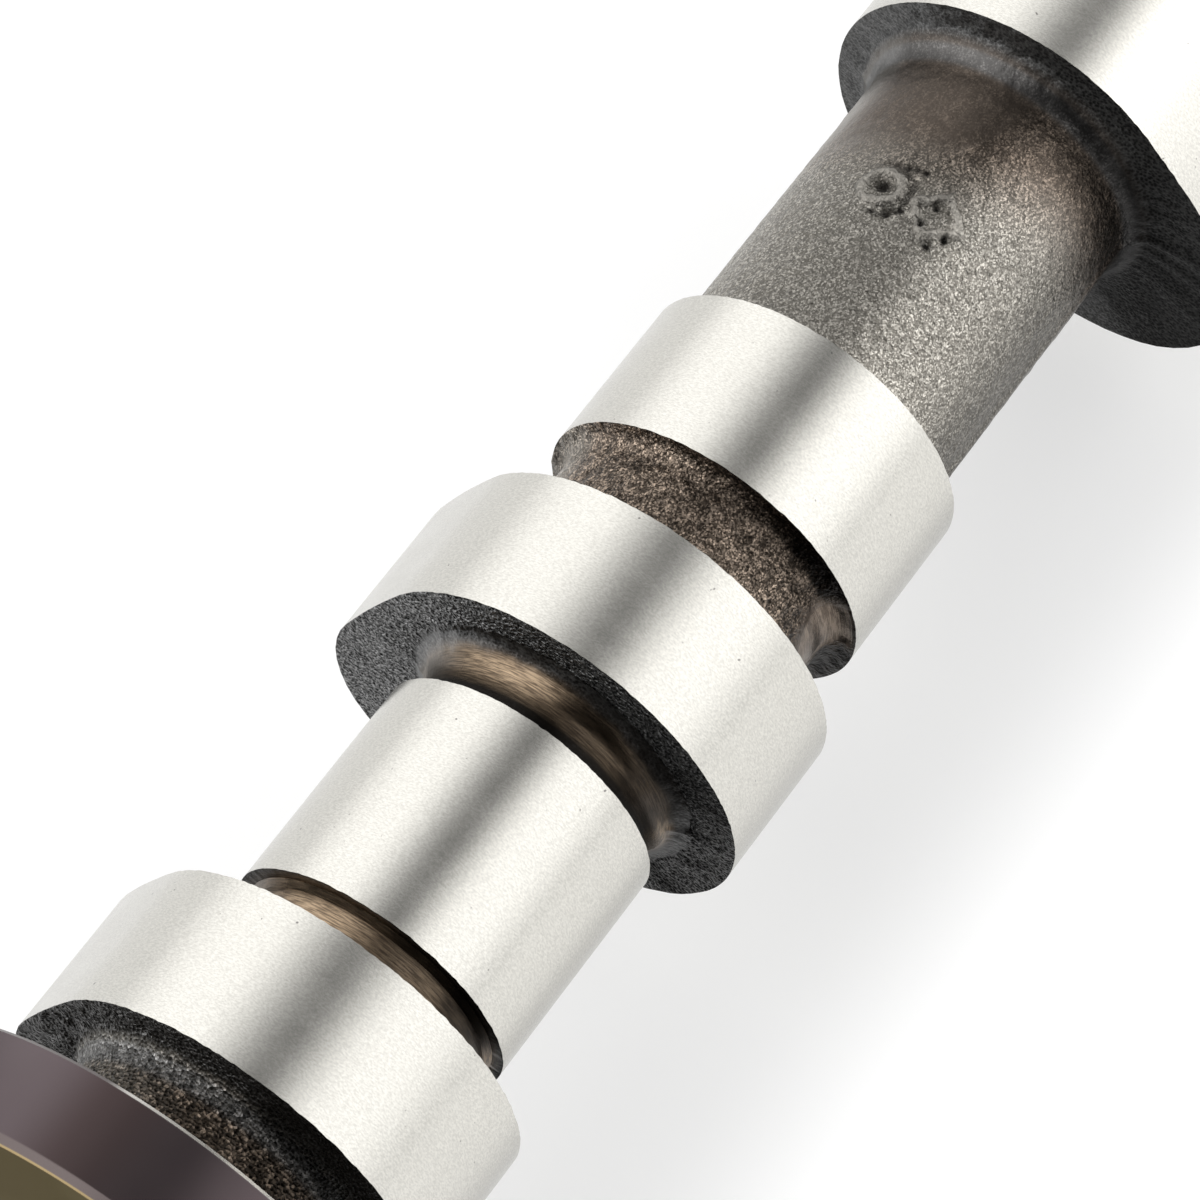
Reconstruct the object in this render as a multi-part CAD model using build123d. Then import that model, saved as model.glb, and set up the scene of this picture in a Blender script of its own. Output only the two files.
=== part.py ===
"""Cast iron camshaft for one bank of three cylinders, with its plated drive flange.

The shaft turns about X. The origin is on that axis, in the plane of the flange's front
face, and the shaft runs from there along +X. It lies on its side, with +Z up. Angles
about the axis are counted from +Y towards +Z. All lengths are in millimetres.
"""
from build123d import *
import math
import os

os.makedirs("parts", exist_ok=True)

# --- Cylinders: each has two lobes with their journal between, and a round collar behind
cylinder_count = 3
cylinder_pitch = 106.6
firing_step_deg = 120.0     # the noses of each cylinder come this much before the last one's
first_nose_deg = -36.0      # both noses of the first cylinder

# --- Lobes
base_circle_diameter = 33.3
lobe_lift = 5.8
nose_radius = 12.4
flank_radius = 90.0
lobe_width = 12.6

# --- Round ground parts
journal_diameter = 24.0
journal_width = 19.3
collar_diameter = 28.3
collar_width = 14.0

# --- Cast and turned parts between them
shaft_diameter = 24.2
groove_diameter = 21.0
groove_width = 4.5          # beside each journal, from its end to the lobe
collar_gap = 8.0            # from the second lobe to the collar
cast_fillet = 2.8
groove_fillet = 2.4
collar_root_chamfer = 1.6
journal_root_chamfer = 0.5
root_share = 0.8            # no root fillet or chamfer takes more of its wall or floor than this
hub_cover = 1.0             # from the hub that carries the lobe's root fillets to the base circle
end_chamfer = 1.0

# --- Drive end
flange_diameter = 48.6
flange_width = 7.8
flange_gap = 8.3            # from the flange to the first lobe
flange_front_chamfer = 0.65
flange_back_chamfer = 0.3
seat_diameter = 20.0        # the turned nose that the flange is pressed on
bolt_hole_diameter = 8.75   # tapping size for an M10 x 1.25 thread
bolt_hole_depth = 25.0
bolt_countersink = 0.8
drill_point_deg = 118.0
dowel_hole_diameter = 5.0
dowel_hole_depth = 6.0
dowel_circle_radius = 15.5

# --- Lathe centre in the rear end
centre_mouth_diameter = 7.0
centre_pilot_diameter = 3.0
centre_pilot_depth = 4.0
centre_cone_deg = 60.0


def cylinder_stations(number):
    """Where the first lobe, the journal, the second lobe and the collar of a cylinder begin."""
    first_lobe = flange_width + flange_gap + number * cylinder_pitch
    journal = first_lobe + lobe_width + groove_width
    second_lobe = journal + journal_width + groove_width
    collar = second_lobe + lobe_width + collar_gap
    return first_lobe, journal, second_lobe, collar


def nose_angle(number):
    """The direction of both noses of a cylinder, in degrees."""
    return first_nose_deg - number * firing_step_deg


rear_end = cylinder_stations(cylinder_count - 1)[3] + collar_width


def lobe_outline():
    """A four-arc cam: base circle, two flanks that touch both circles inside, and the nose."""
    base = base_circle_diameter / 2
    nose_centre = base + lobe_lift - nose_radius
    to_base = flank_radius - base
    to_nose = flank_radius - nose_radius
    flank_x = (nose_centre**2 + to_base**2 - to_nose**2) / (2 * nose_centre)
    flank_y = -math.sqrt(to_base**2 - flank_x**2)
    flank_centre = Vector(flank_x, flank_y)
    base_end = flank_centre * (-base / to_base)
    nose_end = Vector(nose_centre, 0) + (Vector(nose_centre, 0) - flank_centre) * (nose_radius / to_nose)
    middle = (base_end + nose_end) * 0.5 - flank_centre
    flank_middle = flank_centre + middle.normalized() * flank_radius

    def below(point):
        return Vector(point.X, -point.Y)

    arcs = [
        ThreePointArc(base_end, Vector(-base, 0), below(base_end)),
        ThreePointArc(below(base_end), below(flank_middle), below(nose_end)),
        ThreePointArc(below(nose_end), Vector(nose_centre + nose_radius, 0), nose_end),
        ThreePointArc(nose_end, flank_middle, base_end),
    ]
    return make_face(Wire(arcs))


def lobe(start, angle):
    """One lobe from its front face at start, with its nose at an angle."""
    return extrude(Plane.YZ.offset(start) * Rot(0, 0, angle) * lobe_outline(), lobe_width)


def quarter_round(before, corner, after, radius):
    """The fillet in a square corner: an exact quarter circle, drawn as a weighted curve."""
    start = corner + (before - corner).normalized() * radius
    end = corner + (after - corner).normalized() * radius
    return Bezier(start, corner, end, weights=[1, math.sqrt(0.5), 1])


def outline_of(corners):
    """The face inside corners (x, radius, fillet), where a fillet of 0 leaves the corner sharp."""
    points = [Vector(x, r) for x, r, _ in corners]
    sides = []
    reached = points[0]
    neighbours = zip(points, points[1:], points[2:] + points[:1], corners[1:])
    for before, corner, after, (_, _, radius) in neighbours:
        if radius == 0:
            sides.append(Line(reached, corner))
            reached = corner
        else:
            curve = quarter_round(before, corner, after, radius)
            sides += [Line(reached, curve @ 0), curve]
            reached = curve @ 1
    return make_face(sides + [Line(reached, points[0])])


def core_profile():
    """Half the section of everything round: corners (x, radius, fillet) from the nose to the rear."""
    hub = base_circle_diameter / 2 - hub_cover
    shaft = shaft_diameter / 2
    groove = groove_diameter / 2
    journal = journal_diameter / 2
    collar = collar_diameter / 2
    lobe_root = min(cast_fillet, root_share * (hub - shaft))
    groove_root = min(groove_fillet, root_share * (hub - groove), root_share * groove_width)
    journal_root = min(journal_root_chamfer, root_share * (journal - groove))
    collar_root = min(collar_root_chamfer, root_share * (collar - shaft))
    corners = [
        (0, 0, 0),
        (0, seat_diameter / 2, 0),
        (flange_width, seat_diameter / 2, 0),
        (flange_width, shaft, 0),
    ]
    for number in range(cylinder_count):
        first_lobe, journal_start, second_lobe, collar_start = cylinder_stations(number)
        first_end = first_lobe + lobe_width
        journal_end = journal_start + journal_width
        second_end = second_lobe + lobe_width
        collar_end = collar_start + collar_width
        corners += [
            (first_lobe, shaft, lobe_root),
            (first_lobe, hub, 0),
            (first_end, hub, 0),
            (first_end, groove, groove_root),
            (journal_start - journal_root, groove, 0),
            (journal_start, groove + journal_root, 0),
            (journal_start, journal, 0),
            (journal_end, journal, 0),
            (journal_end, groove + journal_root, 0),
            (journal_end + journal_root, groove, 0),
            (second_lobe, groove, groove_root),
            (second_lobe, hub, 0),
            (second_end, hub, 0),
            (second_end, shaft, lobe_root),
            (collar_start - collar_root, shaft, 0),
            (collar_start, shaft + collar_root, 0),
            (collar_start, collar, 0),
            (collar_end, collar, 0),
        ]
        if number < cylinder_count - 1:
            corners += [
                (collar_end, shaft + collar_root, 0),
                (collar_end + collar_root, shaft, 0),
            ]
    corners.append((rear_end, 0, 0))
    return outline_of(corners)


def camshaft():
    """The one casting: core, lobes, the threaded hole in its nose and the lathe centre."""
    body = revolve(core_profile(), Axis.X)
    for number in range(cylinder_count):
        first_lobe, _, second_lobe, _ = cylinder_stations(number)
        body += lobe(first_lobe, nose_angle(number))
        body += lobe(second_lobe, nose_angle(number))
    rear_edge = body.faces().sort_by(Axis.X)[-1].edges()[0]
    body = chamfer(rear_edge, end_chamfer)

    bolt = bolt_hole_diameter / 2
    mouth = bolt + bolt_countersink
    tip = bolt_hole_depth + bolt / math.tan(math.radians(drill_point_deg / 2))
    drilling = Polyline(
        (0, 0),
        (0, mouth),
        (bolt_countersink, bolt),
        (bolt_hole_depth, bolt),
        (tip, 0),
        close=True,
    )
    body -= revolve(make_face(drilling), Axis.X)

    cone = centre_mouth_diameter / 2
    pilot = centre_pilot_diameter / 2
    cone_end = rear_end - (cone - pilot) / math.tan(math.radians(centre_cone_deg / 2))
    pilot_end = cone_end - centre_pilot_depth
    centre = Polyline(
        (rear_end, 0),
        (rear_end, cone),
        (cone_end, pilot),
        (pilot_end, pilot),
        (pilot_end, 0),
        close=True,
    )
    body -= revolve(make_face(centre), Axis.X)
    return body


def drive_flange():
    """The plated steel disc pressed on the nose, with its dowel hole in line with the first noses."""
    rim = flange_diameter / 2
    seat = seat_diameter / 2
    section = Polyline(
        (0, seat),
        (0, rim - flange_front_chamfer),
        (flange_front_chamfer, rim),
        (flange_width - flange_back_chamfer, rim),
        (flange_width, rim - flange_back_chamfer),
        (flange_width, seat),
        close=True,
    )
    disc = revolve(make_face(section), Axis.X)
    angle = math.radians(first_nose_deg)
    dowel_place = (dowel_circle_radius * math.cos(angle), dowel_circle_radius * math.sin(angle))
    dowel_hole = Plane.YZ * Pos(*dowel_place) * Circle(dowel_hole_diameter / 2)
    return disc - extrude(dowel_hole, dowel_hole_depth)


export_step(camshaft(), "parts/camshaft.step")
export_step(drive_flange(), "parts/drive_flange.step")
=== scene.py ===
"""A cast iron camshaft with a plated drive flange, lying on a pale studio floor.

The frame is the shaft's: X runs along its axis from the flange's front face, +Z is up,
and angles about the axis are counted from +Y towards +Z. Sizes below are in millimetres;
a mesh is turned into metres where it is made.
"""

import math

import bpy
import numpy as np
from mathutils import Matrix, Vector


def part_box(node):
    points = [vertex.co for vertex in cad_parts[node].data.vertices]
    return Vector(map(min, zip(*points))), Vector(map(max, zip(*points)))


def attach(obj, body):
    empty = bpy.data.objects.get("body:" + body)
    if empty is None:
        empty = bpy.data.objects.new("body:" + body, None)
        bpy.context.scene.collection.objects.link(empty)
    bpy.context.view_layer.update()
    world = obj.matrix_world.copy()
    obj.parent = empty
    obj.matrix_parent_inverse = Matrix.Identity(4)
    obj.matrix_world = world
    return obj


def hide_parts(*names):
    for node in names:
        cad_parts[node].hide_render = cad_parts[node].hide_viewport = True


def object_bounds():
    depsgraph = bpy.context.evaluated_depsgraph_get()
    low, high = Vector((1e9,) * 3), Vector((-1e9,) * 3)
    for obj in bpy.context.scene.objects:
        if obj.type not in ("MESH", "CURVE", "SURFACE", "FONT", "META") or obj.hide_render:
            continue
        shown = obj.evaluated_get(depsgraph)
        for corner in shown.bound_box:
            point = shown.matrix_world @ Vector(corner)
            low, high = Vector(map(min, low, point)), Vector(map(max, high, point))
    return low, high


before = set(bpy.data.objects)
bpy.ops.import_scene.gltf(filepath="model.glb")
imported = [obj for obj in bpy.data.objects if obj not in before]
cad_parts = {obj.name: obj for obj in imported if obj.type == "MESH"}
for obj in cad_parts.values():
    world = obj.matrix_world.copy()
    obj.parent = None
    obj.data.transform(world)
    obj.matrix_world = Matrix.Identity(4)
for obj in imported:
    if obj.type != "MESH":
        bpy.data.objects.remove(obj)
cad_low, cad_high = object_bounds()

MM = 0.001

# --- Sizes of the shaft in millimetres, where base_circle, journal, collar, shaft, groove and
# seat are radii
cylinder_count = 3
cylinder_pitch = 106.6
firing_step_deg = 120.0     # the noses of each cylinder come this much before the last one's
first_nose_deg = -36.0
base_circle = 33.3 / 2
lobe_lift = 5.8
nose_radius = 12.4
flank_radius = 90.0
lobe_width = 12.6
lobe_reach = 5.0            # about how far a lobe's face stands out beyond its root
journal = 24.0 / 2
journal_width = 19.3
collar = 28.3 / 2
collar_width = 14.0
shaft = 24.2 / 2
groove = 21.0 / 2
groove_width = 4.5          # beside each journal, from its end to the lobe
collar_gap = 8.0            # from the second lobe to the collar
cast_fillet = 2.8
groove_fillet = 2.4
collar_fillet = 1.6
groove_corner = 0.5
end_chamfer = 1.0
seat = 20.0 / 2
flange_gap = 8.3            # from the flange to the first lobe
core_shift = 0.4            # the cast surfaces sit this far off the ground ones
core_shift_deg = 17.5       # and in this direction

# --- Places in a cylinder, from the front of its first lobe
journal_front = lobe_width + groove_width
journal_back = journal_front + journal_width
second_lobe = journal_back + groove_width
collar_front = second_lobe + lobe_width + collar_gap
collar_back = collar_front + collar_width

# --- Holes in the ends
thread_minor = 8.75 / 2
thread_major = 10.0 / 2
thread_pitch = 1.25
thread_depth = 24.2
thread_rings = 5            # to each turn
hole_depth = 25.0
drill_point_deg = 118.0
hole_tip = hole_depth + thread_minor / math.tan(math.radians(drill_point_deg / 2))
hole_mouth = 0.8
centre_mouth = 7.0 / 2
centre_pilot = 3.0 / 2
centre_cone_deg = 60.0
centre_cone_length = (centre_mouth - centre_pilot) / math.tan(math.radians(centre_cone_deg / 2))
centre_pilot_length = 4.0

# --- Drive flange, whose outside comes from the frame
flange_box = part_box("drive_flange")
flange_width = flange_box[1].x / MM
flange_rim = flange_box[1].y / MM
flange_front_chamfer = 0.65
flange_back_chamfer = 0.3

first_lobe = flange_width + flange_gap
rear_end = cad_high.x / MM
tiny = 1e-6                 # more than rounding can move a place

# --- Mesh density: narrow columns on the side that is mostly seen, wide ones under it
fine_from_deg, fine_to_deg = 8.0, 206.0
fine_columns, wide_columns = 220, 36

tones_from_deg = -50.0      # the skin's tones are set from this angle to the last narrow column


def lumps(points, size, seed):
    """Smooth random heights from -1 to 1.

    Random numbers stand on a cubic lattice of this size, and each point takes the mix of the
    eight round it, weighted by a smoothstep of its place in the cell.
    """
    lattice = np.random.default_rng(seed).uniform(-1, 1, (64, 64, 64))
    cell = points / size
    low = np.floor(cell).astype(int)
    part = cell - low
    part = part * part * (3 - 2 * part)
    total = np.zeros(points.shape[:-1])
    for corner in np.ndindex(2, 2, 2):
        weight = np.prod(np.where(np.array(corner) == 1, part, 1 - part), axis=-1)
        at = (low + np.array(corner)) % 64
        total += weight * lattice[at[..., 0], at[..., 1], at[..., 2]]
    return total


def rise(value, start, end):
    """0 before start, 1 after end, and a smoothstep between them. End may be below start."""
    share = np.clip((value - start) / (end - start), 0, 1)
    return share * share * (3 - 2 * share)


def steps(degrees, table):
    """Smooth steps (height, from angle, to angle) over the angle, added up."""
    return sum(height * rise(degrees, start, end) for height, start, end in table)


def bell(degrees, height, centre, width):
    """A bell over angles: this height at the centre, falling as a Gaussian of this width."""
    apart = (degrees - centre + 180) % 360 - 180
    return height * np.exp(-0.5 * (apart / width) ** 2)


def tone_degrees(angles):
    """Angles in degrees as the skin's tones read them: plain where those are set.

    Over the rest, under the shaft, they run back from the last such angle to the first, so
    that no tone has a step.
    """
    degrees = (np.degrees(angles) - fine_to_deg) % 360 + fine_to_deg - 360
    plain = fine_to_deg - tones_from_deg
    back = tones_from_deg + (tones_from_deg - degrees) * plain / (360 - plain)
    return np.where(degrees < tones_from_deg, back, degrees)


def into_cylinder(x):
    """How far behind the front of its cylinder's first lobe a place is."""
    return (x - first_lobe) % cylinder_pitch


def column_angles():
    """The angle of each column in radians: even narrow steps, then even wide ones."""
    fine = np.linspace(fine_from_deg, fine_to_deg, fine_columns, endpoint=False)
    wide = np.linspace(fine_to_deg, fine_from_deg + 360, wide_columns, endpoint=False)
    return np.radians(np.concatenate([fine, wide]))


def lobe_radius(angles, nose_deg):
    """Radius of a four-arc cam at these angles.

    The base circle, the nose circle and two flank circles that touch both inside: each ray
    from the axis meets the arc that its angle from the nose falls on.
    """
    away = np.abs((angles - math.radians(nose_deg) + math.pi) % (2 * math.pi) - math.pi)
    nose_at = base_circle + lobe_lift - nose_radius
    to_base = flank_radius - base_circle
    to_nose = flank_radius - nose_radius
    flank_x = (nose_at**2 + to_base**2 - to_nose**2) / (2 * nose_at)
    flank_y = -math.sqrt(to_base**2 - flank_x**2)
    base_end = math.atan2(-flank_y, -flank_x)
    reach = nose_radius / to_nose
    nose_end = math.atan2(-flank_y * reach, nose_at + (nose_at - flank_x) * reach)

    def circle(x, y, radius):
        along = x * np.cos(away) + y * np.sin(away)
        return along + np.sqrt(np.maximum(along**2 - x**2 - y**2 + radius**2, 0))

    nose = circle(nose_at, 0.0, nose_radius)
    flank = circle(flank_x, flank_y, flank_radius)
    return np.where(away < nose_end, nose, np.where(away < base_end, flank, base_circle))


# --- The casting's outline, as rings along the shaft
BORE, MACHINED, CAST, TURNED, GROUND = range(5)


class Outline:
    """Rings of the casting from the bottom of its bolt hole round to its rear centre.

    A ring has a place x, a radius, a share of the way from that radius to the lobe's own, the
    lobe's cylinder, the outward normal (x, radial), the zone of the strip that follows it and
    its stride, by which its columns are thinned: 1 keeps them all, 2 each second one, 4 each
    fourth one.
    """

    def __init__(self, x, radius):
        self.rings = [(x, radius, 0.0, 0, 0.0, 0.0, BORE, 4)]

    def line(self, x, radius, count, zone, stride, share=0.0, cylinder=0, shares=None):
        """Straight strips to (x, radius, share), at even parts of the way or at those given."""
        x0, radius0, share0 = self.rings[-1][:3]
        dx, dr = x - x0, radius - radius0 + lobe_reach * (share - share0)
        length = math.hypot(dx, dr)
        normal = (-dr / length, dx / length)
        for part in shares or np.arange(1, count + 1) / count:
            self.put(x0 + (x - x0) * part, radius0 + (radius - radius0) * part,
                     share0 + (share - share0) * part, cylinder, normal, zone, stride)

    def fillet_up(self, radius, count, zone, stride):
        """A quarter circle from the floor up to a wall that stands ahead."""
        x0, floor = self.rings[-1][:2]
        for turn in np.linspace(0, math.pi / 2, count + 1)[1:]:
            self.put(x0 + radius * math.sin(turn), floor + radius * (1 - math.cos(turn)), 0.0, 0,
                     (-math.sin(turn), math.cos(turn)), zone, stride)

    def fillet_down(self, radius, count, zone, stride):
        """A quarter circle from a wall behind down to the floor."""
        x0, top = self.rings[-1][:2]
        for turn in np.linspace(0, math.pi / 2, count + 1)[1:]:
            self.put(x0 + radius * (1 - math.cos(turn)), top - radius * math.sin(turn), 0.0, 0,
                     (math.cos(turn), math.sin(turn)), zone, stride)

    def put(self, x, radius, share, cylinder, normal, zone, stride):
        """One more ring, at the end of a strip of this zone."""
        last = self.rings[-1]
        self.rings[-1] = last[:6] + (zone, last[7])
        self.rings.append((x, radius, share, cylinder, *normal, zone, stride))


BAND = (0.025, 0.5, 0.975, 1.0)     # rings of a ground band: close to each edge, and midway


def cylinder_rings(path, number, detail, stride, later_stride):
    """One cylinder's lobes, grooves, journal and collar; detail scales the count of rings.

    Its first lobe has one stride and all behind that the later one.
    """
    front = first_lobe + number * cylinder_pitch
    journal_at = front + journal_front
    journal_end = front + journal_back
    second = front + second_lobe
    collar_at = front + collar_front
    collar_end = front + collar_back
    is_last = number == cylinder_count - 1

    def many(count):
        return max(2, round(count * detail))

    def lobe(start, foot, after, rings):
        """A lobe's front face from its foot up, its ground band and its rear face."""
        end = start + lobe_width
        path.line(start, foot, many(rings), CAST, stride, 1.0, number)
        path.line(end, foot, 4, GROUND, stride, 1.0, number, BAND)
        path.line(end, after, many(4), CAST, stride, 0.0, number)

    path.fillet_up(cast_fillet, 13 if stride == 1 else 4, CAST, stride)
    lobe(front, shaft + cast_fillet, groove + groove_fillet, 20)
    stride = later_stride
    path.fillet_down(groove_fillet, many(9), TURNED, stride)
    path.line(journal_at - groove_corner, groove, many(3), TURNED, stride)
    path.line(journal_at, groove + groove_corner, 1, TURNED, stride)
    path.line(journal_at, journal, 1, TURNED, stride)
    path.line(journal_end, journal, 4, GROUND, stride, shares=BAND)
    path.line(journal_end, groove + groove_corner, 1, TURNED, stride)
    path.line(journal_end + groove_corner, groove, 1, TURNED, stride)
    path.line(second - groove_fillet, groove, many(4), TURNED, stride)
    path.fillet_up(groove_fillet, many(11), TURNED, stride)
    lobe(second, groove + groove_fillet, shaft + cast_fillet, 28)
    path.fillet_down(cast_fillet, many(11), CAST, stride)
    path.line(collar_at - collar_fillet, shaft, many(12), CAST, stride)
    path.fillet_up(collar_fillet, many(7), CAST, stride)
    path.line(collar_at, collar, 2, CAST, stride)
    band_end = collar_end - end_chamfer if is_last else collar_end
    path.line(band_end, collar, 4, GROUND, stride, shares=BAND)
    if not is_last:
        mark_at = mark_x + number * cylinder_pitch
        path.line(collar_end, shaft + collar_fillet, 1, CAST, stride)
        path.fillet_down(collar_fillet, many(6), CAST, stride)
        path.line(mark_at - mark_dense, shaft, many(28), CAST, stride)
        path.line(mark_at + mark_dense, shaft, many(33), CAST, stride)
        path.line(front + cylinder_pitch - cast_fillet, shaft, many(25), CAST, stride)


def casting_path():
    """The whole outline, from the bottom of the bolt hole to the bottom of the rear centre."""
    path = Outline(hole_tip, 0.0)
    path.line(hole_depth, thread_minor, 2, BORE, 4)
    turns = round(thread_depth / thread_pitch * thread_rings)
    path.line(hole_mouth, thread_minor, turns, BORE, 4)
    path.line(0.0, thread_minor + hole_mouth, 1, MACHINED, 4)
    path.line(0.0, thread_minor + hole_mouth + 1.2, 1, MACHINED, 2)
    path.line(0.0, seat, 2, MACHINED, 1)
    path.line(flange_width, seat, 1, MACHINED, 1)
    path.line(flange_width, shaft, 1, MACHINED, 1)
    path.line(first_lobe - cast_fillet, shaft, 15, CAST, 1)
    cylinder_rings(path, 0, 1.0, 1, 1)
    cylinder_rings(path, 1, 0.3, 1, 2)
    cylinder_rings(path, 2, 0.3, 2, 2)
    path.line(rear_end, collar - end_chamfer, 1, MACHINED, 2)
    path.line(rear_end, centre_mouth + 2, 3, MACHINED, 2)
    path.line(rear_end, centre_mouth, 1, MACHINED, 4)
    path.line(rear_end - centre_cone_length, centre_pilot, 2, BORE, 4)
    path.line(rear_end - centre_cone_length - centre_pilot_length, centre_pilot, 2, BORE, 4)
    path.line(rear_end - centre_cone_length - centre_pilot_length, 0.0, 1, BORE, 4)
    return path.rings


# --- Relief of the cast skin, in millimetres
face_relief = (0.10, 0.9), (0.06, 0.45)     # height and size of the lumps on the lobes' faces
shaft_share = 0.35                          # how much of that the shaft has
neck_more = 1.5                             # and how much more low on the neck by the flange
wave_relief, wave_size = 0.08, 7.0
edge_relief, edge_size = 0.055, 0.45        # how ragged a ground band's edges are
flash_angles = (3.5, 183.5)                 # where the two halves of the mould met
flash_height, flash_width_deg = 0.22, 1.6

# --- The turned grooves beside the journals
turned_radius = 11.3                        # how far up their fillets the tool has cut
turned_edge, turned_rag = 0.35, 0.2         # how soft and how ragged the end of that cut is
groove_shade_width = 1.6                           # of the painted shade behind each journal, by its wall
# painted shade by angle in the grooves, in steps (height, from angle, to angle)
groove_shade_steps = ((0.6, 97, 112), (0.25, 130, 143))
groove_shade_ends_deg = (168, 185)
bronze_deg = (25, 58)                       # the cut is bronze from here on, and dull before
groove_grey_deg = (70, 40)                  # the uncut part is greyest below these angles
first_groove_more = 0.45                    # painted light: how much lighter the bronze is beside the first lobe
first_groove_deg = (112, 95)                # on its lit side, below these angles

# --- Tone of the cast skin along each cylinder, in millimetres: grey behind each collar and
# browner towards each lobe, where the brown is partly painted shade
blasted_for = 14.0                          # of the shaft behind a collar, before it browns
blasted_more = 3.5                          # and more of it on the side that was blasted from
blasted_more_deg = (80, 150)
browning = 9.0
brown_share = 0.12                          # how much of the blasted grey is left where brown
blasted_edge_deg = 50.0                     # the side below this angle is blasted all along
neck_grey_deg = (95, 40)                    # the neck by the flange is greyer below these angles, as painted light
calm_from, calm_more = 91.4, 9.0            # where the skin becomes smooth, later on one side
calm_more_deg = (80, 120)
calm_for = 8.0                              # how long that takes
calm_inside = 5.0                           # and how far into the next cylinder it holds

# --- Painted light and shade of the cast skin round the shaft, lighter or darker by the side
# that the light falls on, in steps (height, from angle, to angle) and in bells (height, middle,
# width)
shaft_steps = ((0.75, 80, 20), (0.9, 98, 118), (-0.9, 138, 172))
near_lobe_steps = ((-0.4, 112, 130),)
web_steps = ((0.35, 100, 80), (-0.35, 104, 118))
face_steps = ((0.15, 80, 30), (-0.3, 98, 112), (-0.6, 120, 155))
second_face_steps = ((1.1, 80, 30), (0.45, 158, 178))
neck_root_steps = ((-0.65, 90, 112),)
collar_root_steps = ((0.3, 40, 20), (-0.4, 108, 125), (-0.3, 178, 186))
collar_root_bell = (0.9, 62, 30)
drive_root_bell = (0.4, 62, 24)
darkest_shade = 0.1

# --- Where a wheel has dressed the casting: x, angle, and the patch's radius in millimetres
dressed = ((75.8, 174.0, 4.0), (32.6, 172.0, 2.2), (54.4, 162.0, 2.6))
dressed_flat = 0.9                          # how much of the relief it has taken

# --- The foundry's mark on the shaft: a ring and a diamond, raised, with sand pits round them
mark_x = 107.0
mark_dense = 3.6                            # the rings stand close this far either side of it
ring_at_deg, diamond_at_deg = 77.5, 101.5
mark_height, pit_depth = 0.45, 0.25
mark_ring, mark_line = 1.55, 0.55           # radius, and half the width of its line
mark_diamond = 2.2                          # from its middle to its points
mark_shade_groove = 2.45                            # radius of the groove round the ring, painted dark as shade
mark_rag, mark_rag_size = 0.18, 0.55
mark_pits = (                               # along x, round the shaft, radius
    (0.2, 0.0, 0.95), (2.8, 0.7, 0.6), (2.9, 1.5, 0.5), (3.0, 2.2, 0.45), (-2.3, 0.5, 0.35),
    (-2.0, 1.7, 0.42), (-1.1, 2.5, 0.42), (-1.2, 4.4, 0.5), (0.7, 4.5, 0.42), (-2.6, 5.8, 0.6),
    (-1.2, 6.6, 0.5),
)


def thread_depths(x, angles):
    """How far the thread's groove cuts in: a triangle wave along x that turns with the angle."""
    phase = (x / thread_pitch - angles / (2 * math.pi)) % 1.0
    ends = rise(x, 0.0, thread_pitch) * rise(x, thread_depth, thread_depth - thread_pitch)
    return (thread_major - thread_minor) * (1 - np.abs(2 * phase - 1)) * ends


def in_web(x):
    """1 on the short waist between a cylinder's second lobe and its collar."""
    return rise(np.abs(into_cylinder(x) - collar_front + collar_gap / 2), 6.0, 4.0)


def beside_collar(x):
    """1 by the root in front of a collar and 0 at the lobes."""
    return rise(np.abs(into_cylinder(x) - collar_front), 3.5, 2.5)


def bareness(x, degrees, facing):
    """How much of the skin is blasted grey: most behind each collar, least at a lobe.

    The grey ends at a slant, because the shaft was blasted from one side. The brown towards a
    lobe is partly the skin's own colour and partly painted shade beside the lobe's dark face.
    The neck behind the flange is painted greyer and lighter on that side, as painted light, and
    the fillet from it to the first lobe is greyer too.
    """
    behind = into_cylinder(x) - collar_back
    neck = x < first_lobe
    ends = blasted_for + blasted_more * rise(degrees, *blasted_more_deg)
    grey = np.where((behind < -tiny) | neck, brown_share,
                    1 - (1 - brown_share) * rise(behind, ends, ends + browning))
    grey = grey + neck * 0.5 * rise(degrees, *neck_grey_deg)
    grey = np.maximum(grey, 0.6 * rise(degrees, blasted_edge_deg, blasted_edge_deg - 20))
    return grey + neck * 0.5 * rise(facing, 0.05, 0.3)


def shade(x, degrees, facing, facing_drive):
    """How light the skin is against its zone's own tone.

    The shade is painted light and shade, by the side that the light falls on. The shaft is
    painted lighter on its lit sides, a lobe's face lighter on the nose's side and darker away
    from it, and the roots that face the drive end lighter. The fillets between shaft and face go
    from the one to the other as they turn.
    """
    into = into_cylinder(x)
    neck = x < first_lobe + 1
    near_lobe = np.maximum(neck, rise(into, cylinder_pitch - 8, cylinder_pitch - 3))
    at_second = rise(np.abs(into - second_lobe), 10, 5)
    on_shaft = 1 + in_web(x) * steps(degrees, web_steps)
    on_shaft = on_shaft + (1 - near_lobe) * steps(degrees, shaft_steps)
    on_shaft = on_shaft + near_lobe * steps(degrees, near_lobe_steps)
    on_face = 1 + steps(degrees, face_steps) + at_second * steps(degrees, second_face_steps)
    on_face = on_face + facing_drive * bell(degrees, *drive_root_bell)
    on_face = on_face + neck * steps(degrees, neck_root_steps)
    at_collar = bell(degrees, *collar_root_bell) + steps(degrees, collar_root_steps)
    on_face = on_face + beside_collar(x) * at_collar
    mixed = on_shaft + (on_face - on_shaft) * rise(facing, 0.02, 0.5)
    return np.maximum(mixed, darkest_shade)


def bronze_shade(x, degrees):
    """Painted light on turned bronze: lighter on one side of the very first groove."""
    first_groove = x < first_lobe + (journal_front + journal_back) / 2
    return 1 + first_groove_more * first_groove * rise(degrees, *first_groove_deg)


def coldness(x, facing):
    """How much of its colour the skin loses: most in the fillets between shaft and lobe."""
    return (1 - beside_collar(x)) * (rise(facing, 0.0, 0.12) - 0.8 * rise(facing, 0.4, 0.65))


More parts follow.
